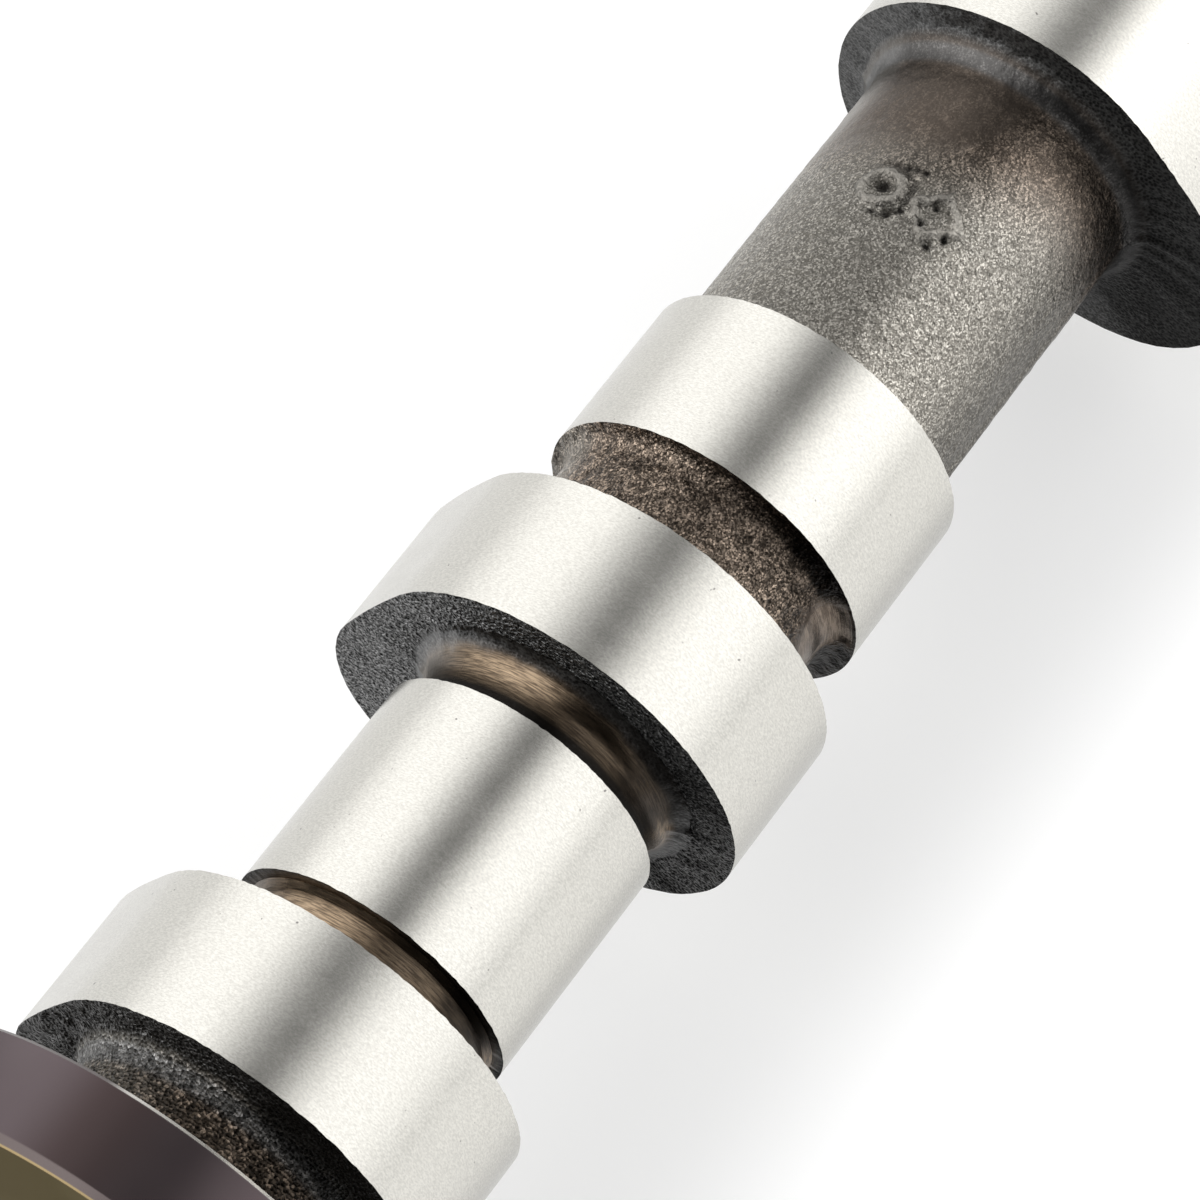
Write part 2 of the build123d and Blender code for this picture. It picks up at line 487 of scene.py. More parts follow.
def painted_groove_shade(x, degrees):
    """Painted shade in grooves: behind a journal, and all of it on the side away from the nose."""
    behind = into_cylinder(x) - journal_back
    near = rise(behind, groove_shade_width + 0.6, groove_shade_width - 0.4) * (behind > -tiny)
    return np.maximum(near, steps(degrees, groove_shade_steps) * (1 - rise(degrees, *groove_shade_ends_deg)))


def calmness(x, degrees):
    """How smooth the skin is where it browns: all smooth by a lobe, later on the blasted side.

    It holds to just inside the next lobe, so a cylinder is counted from there.
    """
    inside = first_lobe + calm_inside
    into = np.where(x < inside, 0, (x - inside) % cylinder_pitch + calm_inside)
    one_side = rise(into, calm_from, calm_from + calm_for)
    into = into - calm_more * rise(degrees, *calm_more_deg)
    return np.maximum(rise(into, calm_from - 2, calm_from + calm_for), 0.6 * one_side)


def dressing(x, angles):
    """1 in the middle of a patch that a wheel has dressed, falling to 0 at its edge."""
    patches = 0 * x
    for at, degrees, radius in dressed:
        away = np.hypot(x - at, (angles - math.radians(degrees)) * shaft)
        patches = np.maximum(patches, rise(away, radius, radius * 0.5))
    return patches


def foundry_mark(x, angles):
    """How far the mark is raised over the shaft, and how deep its pits are, from 0 to 1.

    On the unrolled shaft, the ring stands where the distance from its centre is about its
    radius, the diamond where the distances along and round the shaft add up to about its half
    width, and each pit is a round hollow. A shallow groove runs round the ring's far side, and
    counts with the pits, which are painted near black; on the groove that is a painted line of
    shade. A little noise makes all their edges ragged.
    """
    along = x - mark_x
    round_it = (angles - math.radians(ring_at_deg)) * shaft + 0 * x
    from_centre = np.hypot(along, round_it)
    rag = mark_rag * lumps(np.stack([along, round_it, 0 * x], axis=-1), mark_rag_size, 6)
    ring = rise(np.abs(from_centre + rag - mark_ring), mark_line, mark_line * 0.4)
    from_diamond = round_it - math.radians(diamond_at_deg - ring_at_deg) * shaft
    diamond = np.abs(np.abs(along) + np.abs(from_diamond) + 1.5 * rag - mark_diamond)
    diamond = rise(diamond, mark_line * 1.2, mark_line * 0.5)
    pits = 0 * x
    for pit_x, pit_round, pit_radius in mark_pits:
        away = np.hypot(along - pit_x, round_it - pit_round) + rag
        pits = np.maximum(pits, rise(away, pit_radius, pit_radius * 0.3))
    near = rise(np.abs(along), 6.0, 4.0)
    raised = near * np.maximum(ring, diamond) * (1 - pits)
    # the far side of the ring, along which a line of shade is painted
    shaded_side = rise(round_it, 0.4, 1.2) + rise(along + round_it, 0.6, 1.8)
    shade_groove = shaded_side * rise(np.abs(from_centre + 2 * rag - mark_shade_groove), 0.35, 0.1)
    pits = near * np.maximum(pits, 0.6 * np.minimum(shade_groove, 1) * (1 - diamond))
    return raised, pits


def cast_relief(points, angles, facing, share):
    """Height of the skin that the mould left: its lumps, its long waves and the mould's flash.

    The lumps are strongest where the skin faces along the shaft, and a wheel has taken them
    off where it dressed the casting.
    """
    x = points[..., 0]
    dressed_here = dressing(x, angles)
    low_neck = rise(x, first_lobe + 4, first_lobe) * rise(tone_degrees(angles), 45, 10)
    strength = (shaft_share + (1 - shaft_share) * facing) * (1 + neck_more * low_neck)
    strength = strength + (1 - shaft_share) * (1 - facing) * in_web(x)
    strength = strength * (1 - dressed_flat * dressed_here)
    relief = strength * sum(height * lumps(points, size, seed)
                            for seed, (height, size) in enumerate(face_relief, 1))
    flash = sum(bell(np.degrees(angles), flash_height, at, flash_width_deg)
                for at in flash_angles)
    relief = relief + (1 - share) * (1 - dressed_here) * flash
    return relief + wave_relief * lumps(points, wave_size, 3)


def casting_points():
    """Every ring's points over all columns, with what the finish needs to know of them.

    A point is at radius + share * (lobe radius - radius) from the axis, moved along the
    outline's normal by the relief of its zone, and the cast zones sit a little off the axis.
    """
    rings = np.array(casting_path())
    x, radius, share, cylinder, normal_x, normal_r = (rings[:, i:i + 1] for i in range(6))
    after = rings[:, 6:7].astype(int)
    before = np.vstack([after[:1], after[:-1]])
    angles = column_angles()[None, :]
    degrees = tone_degrees(angles)
    noses = first_nose_deg - firing_step_deg * np.arange(cylinder_count)
    lobes = np.vstack([lobe_radius(angles[0], nose) for nose in noses])
    reach = radius + share * (lobes[cylinder[:, 0].astype(int)] - radius)
    x = x + 0 * angles

    def place():
        return np.stack([x, reach * np.cos(angles), reach * np.sin(angles)], axis=-1)

    skin = (before >= CAST) & (after >= CAST) & (before != GROUND) & (after != GROUND)
    in_groove = (before == TURNED) | (after == TURNED)
    turned_to = turned_radius + turned_rag * lumps(place(), 1.2, 5)
    turned = in_groove * rise(reach, turned_to + turned_edge, turned_to - turned_edge)
    bore = (before == BORE) & (after == BORE) & (radius == thread_minor)
    reach = reach + bore * thread_depths(x, angles)

    points = place()
    facing = normal_x ** 2
    on_shaft = skin * (facing < 0.1)
    raised, pits = foundry_mark(x, angles)
    relief = skin * (1 - turned) * cast_relief(points, angles, facing, share)
    relief = relief + on_shaft * (mark_height * raised - pit_depth * pits)
    ragged = ((before == GROUND) != (after == GROUND)) * (before + after != GROUND + MACHINED)
    x = x + relief * normal_x + ragged * edge_relief * lumps(points, edge_size, 4)
    reach = reach + relief * normal_r
    points = place()

    off_axis = skin * (1 - share) * (1 - in_groove) * rise(x, flange_width, flange_width + 3)
    off_axis = off_axis * rise(reach, collar, collar - 0.5)
    shift = math.radians(core_shift_deg)
    points += (core_shift * off_axis)[..., None] * np.array([0, math.cos(shift), math.sin(shift)])

    # What the finish reads, from 0 to 1, but for the shade, which is painted light and shade and
    # a share of each tone
    ahead = normal_x < 0
    marks = {
        "turned": turned * (0.2 + 0.8 * rise(degrees, *bronze_deg)),
        "face": (1 - turned) * (1 - beside_collar(x)) * rise(facing, 0.45, 0.95),
        # grey against brown: partly the skin's own colour, partly painted light and shade
        "bare": np.where(in_groove, 0.4 * rise(degrees, *groove_grey_deg),
                         bareness(x, degrees, facing)),
        "raised": raised * on_shaft,
        # the pits and the groove round the mark, painted near black: on the groove a painted line
        # of shade
        "pits_and_shade_line": pits * on_shaft,
        # painted light and shade: how much lighter or darker each tone is painted, by side
        "shade": ((1 - turned) * shade(x, degrees, facing, ahead)
                  + turned * bronze_shade(x, degrees)),
        "cold": (1 - turned) * ahead * coldness(x, facing),
        # painted shade in the grooves
        "groove_painted_shade": in_groove * painted_groove_shade(x, degrees),
        # 1 on the neck by the flange and the first lobe's front face: painted shade there, and
        # coarser grains
        "sooty": rise(x, first_lobe + 4, first_lobe),
        "calm": np.maximum(calmness(x + 1.5 * lumps(points, 3.0, 7), degrees),
                           in_groove * rise(reach + 1.5 * relief, 13.6, 12.4)),
        "dressed": skin * dressing(x, angles),
    }
    return points, rings, before[:, 0], after[:, 0], marks


def weave(rings, columns):
    """Faces between neighbouring rings, whose columns may be thinned by different strides.

    Between two rings the coarser one has one edge for a few of the finer one's, and one face
    takes them all. A ring at radius 0 is one point. Returns the first vertex of each ring and,
    for each strip, its faces as rows of vertex numbers, and the column and ring of each corner.
    """
    strides = rings[:, 7].astype(int)
    counts = np.where(rings[:, 1] == 0, 1, columns // strides)
    first = np.concatenate([[0], np.cumsum(counts)])
    strips, corner_columns, corner_rings = [], [], []
    for i in range(len(rings) - 1):
        wide = max(strides[i], strides[i + 1])
        starts = np.arange(0, columns, wide)[:, None]
        sides = []
        for ring, order in ((i, 1), (i + 1, -1)):
            along = np.arange(0, wide + 1, strides[ring]) if counts[ring] > 1 else np.array([0])
            turn = (starts + along)[:, ::order]
            at = first[ring] + (turn % columns // strides[ring] if counts[ring] > 1 else 0 * turn)
            sides.append((at, turn, np.full(turn.shape, ring)))
        for store, parts in zip((strips, corner_columns, corner_rings), zip(*sides)):
            store.append(np.hstack(parts))
    return first, strips, corner_columns, corner_rings


def in_scene(name, data):
    """An object of this data, at the origin and linked to the scene."""
    thing = bpy.data.objects.new(name, data)
    bpy.context.scene.collection.objects.link(thing)
    return thing


def unroll(mesh, rings, corner_columns, corner_rings):
    """The skin unrolled as a UV map: u round the shaft, v along its outline, in millimetres."""
    angles = np.append(column_angles(), column_angles()[0] + 2 * math.pi)
    out = np.diff(rings[:, 1] + lobe_reach * rings[:, 2])
    outline = np.concatenate([[0], np.cumsum(np.hypot(np.diff(rings[:, 0]), out))])
    u = np.concatenate([angles[rows].ravel() * collar for rows in corner_columns])
    v = np.concatenate([outline[rows].ravel() for rows in corner_rings])
    unrolled = mesh.uv_layers.new(name="unrolled")
    unrolled.data.foreach_set("uv", np.stack([u, v], axis=-1).ravel())


def sharpen(mesh, rings, first, before, after):
    """Sharp edges along each ring where the outline turns a corner or the zone changes."""
    normals = rings[:, 4:6]
    bend = np.sum(normals[:-1] * normals[1:], axis=1)
    corner = np.append(bend < 0.8, False) | (before != after)
    corner &= ~((before >= CAST) & (after >= CAST) & (before + after == CAST + TURNED))
    ring_of = np.repeat(np.arange(len(rings)), np.diff(first))
    ends = np.empty(len(mesh.edges) * 2, dtype=np.int32)
    mesh.edges.foreach_get("vertices", ends)
    ends = ring_of[ends.reshape(-1, 2)]
    sharp = (ends[:, 0] == ends[:, 1]) & corner[ends[:, 0]]
    mesh.attributes.new("sharp_edge", "BOOLEAN", "EDGE").data.foreach_set("value", sharp)


def casting(ground, skin):
    """The one casting, with a ground finish on its bands and ends and the cast skin between."""
    points, rings, before, after, marks = casting_points()
    columns = fine_columns + wide_columns
    first, strips, corner_columns, corner_rings = weave(rings, columns)
    strides = rings[:, 7].astype(int)

    def kept(values):
        """The values of the vertices that the mesh has, ring after ring."""
        return np.concatenate([row[:1] if rings[i, 1] == 0 else row[::strides[i]]
                               for i, row in enumerate(values)])

    mesh = bpy.data.meshes.new("camshaft_casting")
    faces = [tuple(row) for rows in strips for row in rows.tolist()]
    mesh.from_pydata(kept(points) * MM, [], faces)
    mesh.materials.append(ground)
    mesh.materials.append(skin)
    finish_of = [np.full(len(rows), 1 if after[i] in (CAST, TURNED) else 0)
                 for i, rows in enumerate(strips)]
    mesh.polygons.foreach_set("material_index", np.concatenate(finish_of))
    mesh.shade_smooth()
    for name, values in marks.items():
        over_rings = np.broadcast_to(values, points.shape[:2])
        mesh.attributes.new(name, "FLOAT", "POINT").data.foreach_set("value", kept(over_rings))
    unroll(mesh, rings, corner_columns, corner_rings)
    sharpen(mesh, rings, first, before, after)
    return in_scene("camshaft_casting", mesh)


class Nodes:
    """A node tree, with short calls for the nodes that the finishes and the light use."""

    def __init__(self, tree):
        self.tree = tree

    def add(self, kind, settings=None, **inputs):
        """A node with these settings, its inputs set to a value or joined to another node."""
        node = self.tree.nodes.new(kind)
        for key, value in (settings or {}).items():
            setattr(node, key, value)
        for key, value in inputs.items():
            self.join(node.inputs[int(key[1:]) if key[1:].isdigit() else key], value)
        return node

    def join(self, socket, value):
        """Set a socket to a value, or link it; a colour is three numbers."""
        if isinstance(value, bpy.types.NodeSocket):
            self.tree.links.new(value, socket)
        elif socket.type == "RGBA":
            socket.default_value = (*value, 1)
        else:
            socket.default_value = value

    def work(self, operation, a, b=0.0):
        """One step of arithmetic."""
        return self.add("ShaderNodeMath", {"operation": operation}, _0=a, _1=b).outputs[0]

    def plus(self, a, b):
        return self.work("ADD", a, b)

    def minus(self, a, b):
        return self.work("SUBTRACT", a, b)

    def times(self, a, b):
        return self.work("MULTIPLY", a, b)

    def larger(self, a, b):
        return self.work("MAXIMUM", a, b)

    def between(self, value, low, high, start=0.0, end=1.0):
        """Value taken smoothly from the range low..high to start..end, and kept inside it."""
        return self.add("ShaderNodeMapRange", {"interpolation_type": "SMOOTHSTEP"}, Value=value,
                        _1=low, _2=high, _3=start, _4=end).outputs[0]

    def mix(self, share, a, b):
        """Number a where share is 0 and b where it is 1."""
        return self.add("ShaderNodeMix", {"data_type": "FLOAT"}, _0=share, _2=a, _3=b).outputs[0]

    def blend(self, share, a, b, kind="MIX"):
        """Colour a where share is 0 and b where it is 1."""
        return self.add("ShaderNodeMix", {"data_type": "RGBA", "blend_type": kind},
                        _0=share, _6=a, _7=b).outputs[2]

    def dimmed(self, colour, value):
        """Colour times a value."""
        return self.blend(1.0, colour, value, "MULTIPLY")

    def seen(self):
        """1 where the camera looks, straight or by way of metal or glass, and 0 for other rays."""
        path = self.add("ShaderNodeLightPath")
        seen = self.larger(path.outputs["Is Camera Ray"], path.outputs["Is Glossy Ray"])
        return self.larger(seen, path.outputs["Is Transmission Ray"])


class Finish(Nodes):
    """A material's node tree, with calls for patterns on the piece's own coordinates."""

    def __init__(self, name):
        self.material = bpy.data.materials.new(name)
        self.material.use_nodes = True
        super().__init__(self.material.node_tree)
        self.shader = self.tree.nodes["Principled BSDF"]
        self.place = self.add("ShaderNodeTexCoord").outputs["Object"]

    def noise(self, scale, detail=2.0, roughness=0.5, stretch=(1, 1, 1), shift=0.0):
        """Noise with this many cells to the millimetre, stretched along each axis and shifted."""
        at = self.add("ShaderNodeMapping", Vector=self.place, Location=(shift, shift, shift),
                      Scale=[scale * part / MM for part in stretch])
        return self.add("ShaderNodeTexNoise", Vector=at.outputs[0], Scale=1.0, Detail=detail,
                        Roughness=roughness).outputs["Fac"]

    def streaks(self, across, along):
        """Noise in streaks round the shaft: this many to the millimetre across and along them."""
        unrolled = self.add("ShaderNodeUVMap", {"uv_map": "unrolled"})
        at = self.add("ShaderNodeMapping", Vector=unrolled.outputs[0], Scale=(along, across, 1))
        return self.add("ShaderNodeTexNoise", {"noise_dimensions": "2D"}, Vector=at.outputs[0],
                        Scale=1.0, Detail=3.0, Roughness=0.6).outputs["Fac"]

    def grains(self, scale):
        """Grains of sand, this many to the millimetre: their height and a tone for each."""
        at = self.add("ShaderNodeMapping", Vector=self.place, Scale=[scale / MM] * 3)
        cells = self.add("ShaderNodeTexVoronoi", Vector=at.outputs[0], Scale=1.0)
        split = self.add("ShaderNodeSeparateColor", Color=cells.outputs["Color"])
        return cells.outputs["Distance"], split.outputs[0]

    def bump(self, height, distance, under=None):
        """Bump of this height in millimetres, over another bump if one is given."""
        node = self.add("ShaderNodeBump", Height=height, Distance=distance * MM)
        if under:
            self.join(node.inputs["Normal"], under)
        return node.outputs[0]

    def attribute(self, name):
        return self.add("ShaderNodeAttribute", {"attribute_name": name}).outputs["Fac"]

    def set(self, **inputs):
        """The finished material, with these inputs of its shader set; _ stands for a space."""
        for key, value in inputs.items():
            self.join(self.shader.inputs[key.replace("_", " ")], value)
        return self.material


# --- Colours of the finishes, in linear light
ground_dark, ground_light = (0.500, 0.488, 0.453), (0.630, 0.618, 0.575)
ground_pit = (0.22, 0.21, 0.20)

brown_low, grey_low = (0.020, 0.014, 0.010), (0.092, 0.086, 0.075)      # the darkest grains
brown_high, grey_high = (0.235, 0.178, 0.134), (0.310, 0.294, 0.263)    # and the lightest
brown_smooth, grey_smooth = (0.046, 0.034, 0.026), (0.170, 0.162, 0.147)
pock = (0.012, 0.010, 0.008)
raised_grey = (0.235, 0.222, 0.198)
black_dark, black_light = (0.003, 0.003, 0.003), (0.030, 0.030, 0.029)  # the lobes' faces
bronze_dark, bronze_light = (0.070, 0.050, 0.033), (0.250, 0.186, 0.125)
wheel_dark, wheel_light = (0.130, 0.102, 0.080), (0.280, 0.224, 0.178)
# near black: painted shade in the grooves, by the flange and round the mark, and the mark's dark
# pits
shade_and_pit_black = (0.008, 0.007, 0.006)

rim_dark, rim_light = (0.084, 0.066, 0.070), (0.100, 0.080, 0.084)
# painted shade on the rim
rim_painted_shade = (0.048, 0.034, 0.034)
rim_chamfer, front_edge = (0.105, 0.086, 0.084), (0.25, 0.19, 0.10)
olive_dark, olive_light = (0.082, 0.074, 0.036), (0.118, 0.108, 0.056)
olive_tint = (0.54, 0.50, 0.46)
# the back, with a painted highlight down one side and round its outer edge
behind_dark, behind_painted_highlight = (0.085, 0.070, 0.068), (0.55, 0.53, 0.50)


def ground_iron():
    """Ground and polished iron: fine grinding lines round the shaft, a satin cloud, few pits."""
    f = Finish("ground_iron")
    lines = f.noise(8.0, 3.0, 0.65, (1, 0.42, 0.42))
    satin = f.noise(0.25, 3.0, 0.6, (1.6, 0.5, 0.5), 7.0)
    pits = f.between(f.noise(1.9, 1.0, 0.5, shift=3.0), 0.215, 0.18)
    tone = f.blend(f.between(lines, 0.3, 0.7), ground_dark, ground_light)
    tone = f.blend(pits, tone, ground_pit)
    return f.set(Base_Color=tone, Metallic=1.0,
                 Roughness=f.between(satin, 0.3, 0.7, 0.22, 0.26),
                 Normal=f.bump(lines, 0.004))


class CastSkin(Finish):
    """The skin that the mould left, with the patterns and marks that its parts share.

    It is blasted grey iron on the shaft, browner towards each lobe, near black and wrinkled on
    the lobes' faces, and bronze where the grooves were turned. Painted light and shade lie over
    it: lighter or darker by the side the light falls on, and painted shade in the grooves, on
    the first lobe's face by the flange and round the mark.
    """

    def __init__(self):
        super().__init__("cast_skin")
        self.sand_tone = self.grains(7.5)[1]
        self.crumbs, self.crumb_tone = self.grains(3.3)
        self.lump = self.noise(1.1, 4.0, 0.62, shift=2.0)
        self.rough_lump = self.noise(1.7, 3.0, 0.6, shift=9.0)
        self.lines = self.streaks(9.0, 0.45)
        self.turned, self.face, self.bare, self.raised, self.sooty, self.calm = (
            self.attribute(name) for name in ("turned", "face", "bare", "raised", "sooty", "calm"))
        # the shade is painted light and shade, lighter or darker by the side the light falls on
        self.dressed, self.shade = self.attribute("dressed"), self.attribute("shade")
        self.smooth = self.larger(self.turned, self.dressed)
        self.coarse = self.times(self.between(self.smooth, 0.0, 1.0, 1.0, 0.05),
                                 self.between(self.calm, 0.0, 1.0, 1.0, 0.12))

    def shaft_tone(self):
        """Grains from dark to light with pocks between them, or one tone where it is smooth."""
        grain = self.work("POWER", self.mix(self.sooty, self.sand_tone, self.crumb_tone), 2.6)
        tone = self.blend(grain, self.blend(self.bare, brown_low, grey_low),
                          self.blend(self.bare, brown_high, grey_high))
        patches = self.between(self.lump, 0.35, 0.65, 0.55, 1.4)
        tone = self.dimmed(tone, self.mix(self.between(self.bare, 0.15, 0.5), patches, 1.0))
        whole = self.plus(self.plus(self.crumbs, self.times(self.rough_lump, 1.6)), self.bare)
        whole = self.larger(self.between(whole, 0.85, 1.3), self.dressed)
        tone = self.blend(whole, pock, tone)
        plain = self.larger(self.between(self.coarse, 0.0, 1.0, 0.85, 0.0),
                            self.times(self.raised, 0.7))
        tone = self.blend(plain, tone, self.blend(self.bare, brown_smooth, grey_smooth))
        tone = self.blend(self.times(self.raised, 0.6), tone, raised_grey)
        kept = self.between(self.attribute("cold"), 0.0, 1.0, 1.0, 0.2)
        # painted light and shade make the tone lighter or darker by side
        return self.add("ShaderNodeHueSaturation", Color=self.dimmed(tone, self.shade), Hue=0.5,
                        Value=1.0, Fac=1.0, Saturation=kept).outputs[0]

    def tone(self):
        """The colour: shaft, faces, turned grooves, dressed patches, dark pits and painted shade.
        """
        black = self.blend(self.between(self.crumbs, 0.25, 0.75), black_dark, black_light)
        tone = self.blend(self.face, self.shaft_tone(), black)
        bronze = self.blend(self.between(self.lines, 0.3, 0.7), bronze_dark, bronze_light)
        # the bronze takes the painted light and shade too
        tone = self.blend(self.turned, tone, self.dimmed(bronze, self.shade))
        wheel = self.blend(self.between(self.lines, 0.4, 0.6), wheel_dark, wheel_light)
        tone = self.blend(self.times(self.dressed, 0.75), tone, wheel)
        # the mark's pits, and painted shade round the mark and in the grooves
        pits_and_painted_shade = self.larger(self.attribute("pits_and_shade_line"), self.attribute("groove_painted_shade"))
        # painted shade: the first lobe's front face, beside the flange, is painted near black
        soot = self.times(self.sooty, self.between(self.face, 0.0, 1.0, 0.0, 0.8))
        return self.blend(self.larger(pits_and_painted_shade, soot), tone, shade_and_pit_black)

    def sheen(self):
        """How strongly it glints: by grain, evenly where calm, and by painted light and shade."""
        glints = self.times(self.between(self.sand_tone, 0.3, 0.95, 0.08, 2.0),
                            self.between(self.plus(self.crumbs, self.rough_lump), 0.65, 1.25,
                                         0.05, 1.0))
        glints = self.mix(self.times(self.calm, 0.7), glints, 0.5)
        # the glints follow the painted light and shade, and are dimmed as painted shade by the
        # flange
        soot = self.between(self.sooty, 0.0, 1.0, 1.0, 0.65)
        return self.times(glints, self.times(self.shade, soot))

    def relief(self):
        """The tool's lines, under the skin's lumps, under crumbs that are deepest on the faces."""
        under = self.bump(self.lines, 0.006)
        under = self.bump(self.times(self.lump, self.coarse), 0.40, under)
        deep = self.times(self.coarse, self.plus(self.larger(self.face, self.sooty), 0.35))
        return self.bump(self.times(self.crumbs, deep), 0.20, under)


def cast_skin():
    """The finish of everything on the casting that was not ground."""
    f = CastSkin()
    return f.set(Base_Color=f.tone(), Metallic=f.between(f.face, 0.0, 1.0, 0.92, 0.05),
                 Roughness=f.between(f.smooth, 0.0, 1.0, 0.36, 0.27),
                 Specular_IOR_Level=f.sheen(), Normal=f.relief())


def plated_steel():
    """Plating over smooth turned steel: mauve on the rim, olive on the front, bright behind.

    The rim is painted dimmest at its top and a little dim down its -Y side, as painted shade.
    The back is painted bright down that side and all along its outer edge, as a painted
    highlight, and elsewhere it is as dark as the rim.
    """
    f = Finish("plated_steel")
    x, y, z = f.add("ShaderNodeSeparateXYZ", Vector=f.place).outputs
    across = f.add("ShaderNodeCombineXYZ", Y=y, Z=z).outputs[0]
    radius = f.add("ShaderNodeVectorMath", {"operation": "LENGTH"}, _0=across).outputs["Value"]
    x = f.work("DIVIDE", x, MM)
    radius = f.work("DIVIDE", radius, MM)
    around = f.times(f.work("ARCTAN2", z, y), 180 / math.pi)
    around = f.work("FLOORED_MODULO", around, 360.0)
    cloud = f.noise(0.08, 2.0, 0.5)
    lines = f.noise(6.0, 2.0, 0.5, (1, 0.03, 0.03))

    # painted shade: the rim darker at its top and down its -Y side
    dim = f.minus(f.between(around, 73, 86), f.between(around, 90, 102, 0.0, 0.8))
    dim = f.minus(dim, f.between(around, 290, 330, 0.0, 0.2))
    rim = f.blend(f.between(cloud, 0.35, 0.65), rim_dark, rim_light)
    rim = f.blend(dim, rim, rim_painted_shade)
    olive = f.blend(f.between(cloud, 0.4, 0.6), olive_dark, olive_light)
    # painted highlight: the back lighter down one side and along its outer edge
    bright = f.minus(f.between(around, 83, 89), f.between(around, 240, 280))
    back_edge = flange_rim - flange_back_chamfer
    bright = f.larger(bright, f.between(radius, back_edge, back_edge - 0.15))
    behind = f.blend(bright, behind_dark, behind_painted_highlight)

    chamfer_from, chamfer_to = flange_front_chamfer + 0.1, flange_front_chamfer - 0.1
    tone = f.blend(f.between(x, chamfer_from, chamfer_to), rim, rim_chamfer)
    tone = f.blend(f.between(x, 0.16, 0.08), tone, front_edge)
    front_rim = flange_rim - flange_front_chamfer
    tone = f.blend(f.between(radius, front_rim - 0.05, front_rim - 0.20), tone, olive)
    back = flange_width - flange_back_chamfer
    tone = f.blend(f.between(x, back - 0.05, back + 0.05), tone, behind)
    on_front = f.between(x, 0.02, 0.01)
    return f.set(Base_Color=tone, Metallic=f.between(on_front, 0.0, 1.0, 0.9, 1.0),
                 Specular_Tint=f.blend(on_front, (1, 1, 1), olive_tint),
                 Roughness=f.between(cloud, 0.3, 0.7, 0.22, 0.28),
                 Normal=f.bump(lines, 0.002))


# --- Studio: a white sheet, long soft boxes either side of the shaft, and the camera
floor_front = (flange_width - flange_back_chamfer, -flange_rim)     # x and z where the rim rests
floor_back = (rear_end - collar_width - collar_gap, -base_circle)   # and where the last lobe does
floor_half = 3000.0
floor_white = 0.50
floor_glow = 0.51                   # so that the sheet is white to the camera where it is lit
floor_far_painted_light = 0.72               # painted light on the -Y side, away from the shaft, so its shadow fades sooner
floor_glow_from, floor_glow_to = -42.0, -20.0       # y, from the far glow to the near one

# Soft boxes: the angles about the shaft, in degrees, where a box starts, is full from, is full
# to and ends; the direction's X where it is closed and where it is open; and its strength
soft_boxes = (
    (-39.0, 35.0, 52.0, 96.0, -0.25, 0.10, 1.55),
    (94.0, 130.0, 148.0, 215.0, -0.20, 0.10, 1.55),
    (-25.0, -5.0, 58.0, 92.0, 0.05, -0.25, 2.0),
    (98.0, 125.0, 160.0, 200.0, 0.48, 0.75, 2.2),
)
room_light = 0.20
front_room = 0.05                   # the room's light from -X
front_room_to, room_from = -0.25, 0.10
backdrop_top = 0.115                # how high the white backdrop stands, as the sine of its angle
backdrop_fade = 0.03

# A large soft lamp, high on the +Y side and towards -X
lamp_from = (-0.42, 0.52, 0.74)
lamp_strength = 0.6
lamp_spread_deg = 60.0

camera_place = (-0.10245, -0.11289, 0.35688)        # in metres
camera_azimuth_deg = 214.2294       # of the direction that the part is seen from
camera_height_deg = 59.7539         # and above the level
camera_lens = 160.72


def turn_to(thing, direction):
    """Turn a lamp or a camera so that it looks straight against this direction."""
    thing.rotation_euler = Vector(direction).to_track_quat("Z", "Y").to_euler()


def studio_floor():
    """A large white sheet that the shaft lies on, tipped to touch its flange and last lobe."""
    tilt = (floor_back[1] - floor_front[1]) / (floor_back[0] - floor_front[0])
    sides = ((-1, -1), (1, -1), (1, 1), (-1, 1))
    corners = np.array([(x * floor_half, y * floor_half, 0) for x, y in sides])
    corners[:, 2] = floor_front[1] + (corners[:, 0] - floor_front[0]) * tilt
    mesh = bpy.data.meshes.new("studio_floor")
    mesh.from_pydata(corners * MM, [], [(0, 1, 2, 3)])
    f = Finish("white_sheet")
    away = f.add("ShaderNodeSeparateXYZ", Vector=f.place).outputs[1]
    # painted light: the sheet glows more away from the shaft on the -Y side
    glow = f.between(away, floor_glow_from * MM, floor_glow_to * MM, floor_far_painted_light, floor_glow)
    mesh.materials.append(f.set(
        Base_Color=(floor_white, floor_white, floor_white), Roughness=0.9,
        Specular_IOR_Level=0.0, Emission_Color=(1, 1, 1),
        Emission_Strength=f.times(f.seen(), glow)))
    return in_scene("studio_floor", mesh)


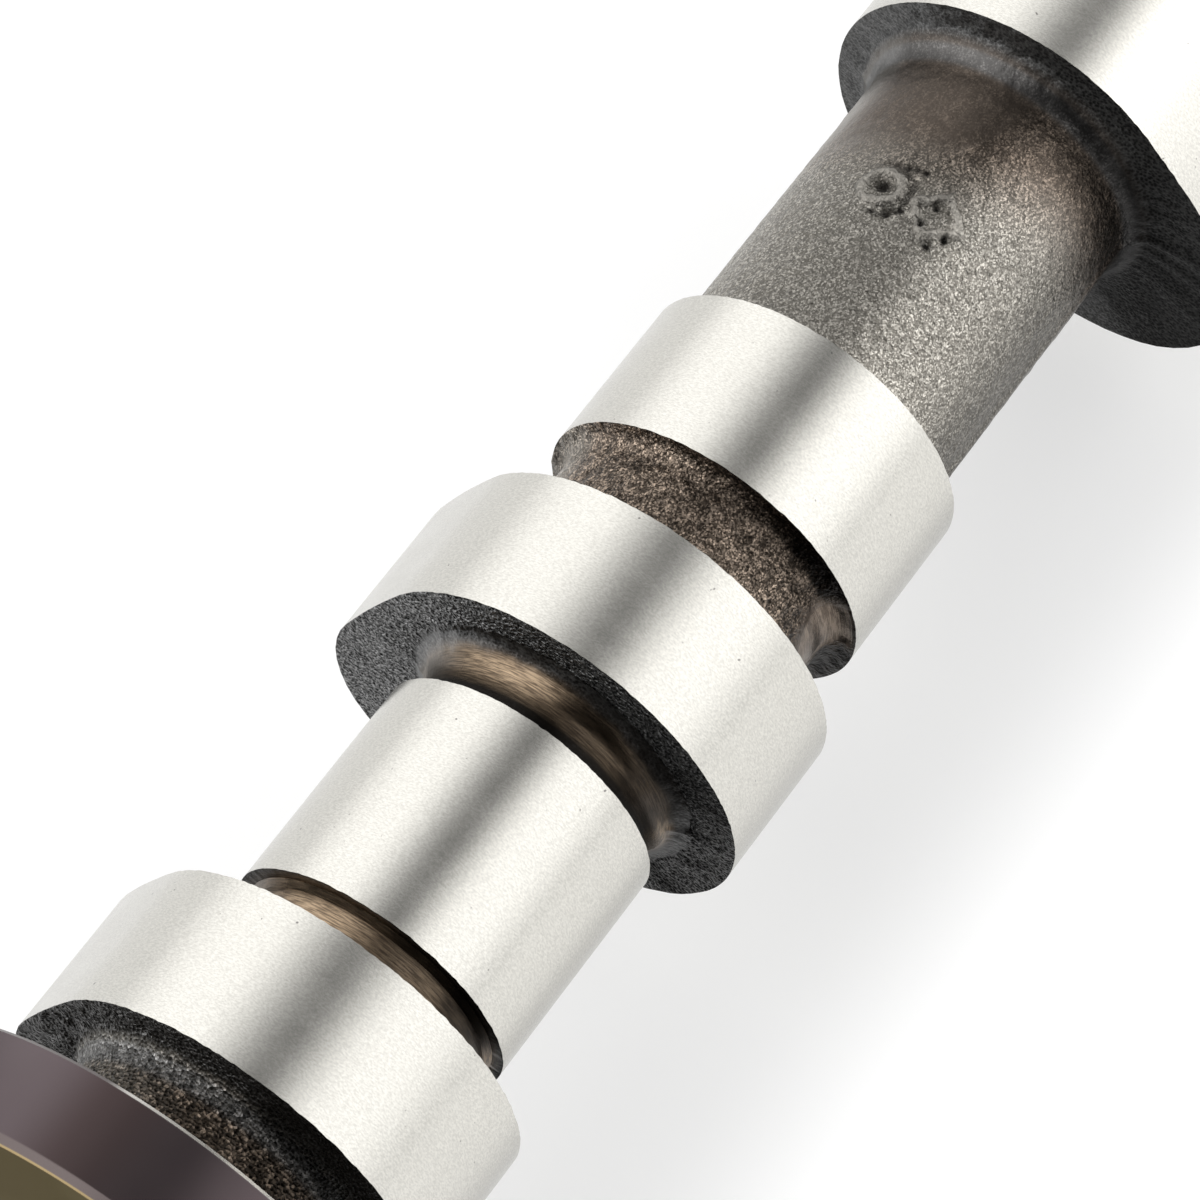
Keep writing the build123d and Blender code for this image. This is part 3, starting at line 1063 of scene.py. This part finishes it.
def studio_light():
    """The world: long soft boxes in a dim room, over a low white backdrop.

    A direction's angle about the shaft picks its box, and each box fades at its edges. The
    backdrop is only seen, straight or in the metal, and stands as high as a level camera looks.
    """
    world = bpy.data.worlds.new("studio")
    bpy.context.scene.world = world
    world.use_nodes = True
    w = Nodes(world.node_tree)
    w.tree.nodes.clear()
    toward = w.add("ShaderNodeTexCoord").outputs["Generated"]
    x, y, z = w.add("ShaderNodeSeparateXYZ", Vector=toward).outputs
    angle = w.work("ARCTAN2", z, y)
    light = w.between(x, front_room_to, room_from, front_room, room_light)
    for start, full, full_end, end, closed_at, open_at, strength in soft_boxes:
        opens = w.between(angle, math.radians(start), math.radians(full))
        closes = w.between(angle, math.radians(full_end), math.radians(end), strength, 0.0)
        along = w.between(x, closed_at, open_at)
        light = w.plus(light, w.times(w.times(opens, closes), along))
    backdrop = w.times(w.seen(), w.between(z, backdrop_top + backdrop_fade, backdrop_top))
    lit = w.add("ShaderNodeBackground", Color=(1, 1, 1), Strength=w.larger(light, backdrop))
    w.add("ShaderNodeOutputWorld", Surface=lit.outputs[0])


def studio_lamp():
    """A sun lamp as wide as a large soft box, so that the shadows are soft."""
    sun = bpy.data.lights.new("soft_lamp", "SUN")
    sun.energy = lamp_strength
    sun.angle = math.radians(lamp_spread_deg)
    turn_to(in_scene("soft_lamp", sun), lamp_from)


def studio_camera():
    """The camera, close above the drive end and looking down along the shaft."""
    lens = bpy.data.cameras.new("camera")
    lens.lens = camera_lens
    lens.sensor_width = 36.0
    lens.clip_start = 0.01
    camera = in_scene("camera", lens)
    camera.location = camera_place
    around, height = math.radians(camera_azimuth_deg), math.radians(camera_height_deg)
    level = math.cos(height)
    turn_to(camera, (level * math.cos(around), level * math.sin(around), math.sin(height)))
    bpy.context.scene.camera = camera


piece = casting(ground_iron(), cast_skin())
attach(piece, "root")
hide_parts("camshaft")

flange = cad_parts["drive_flange"]
flange.data.materials.clear()
flange.data.materials.append(plated_steel())

studio_floor()
studio_light()
studio_lamp()
studio_camera()
bpy.context.scene.view_settings.view_transform = "Standard"
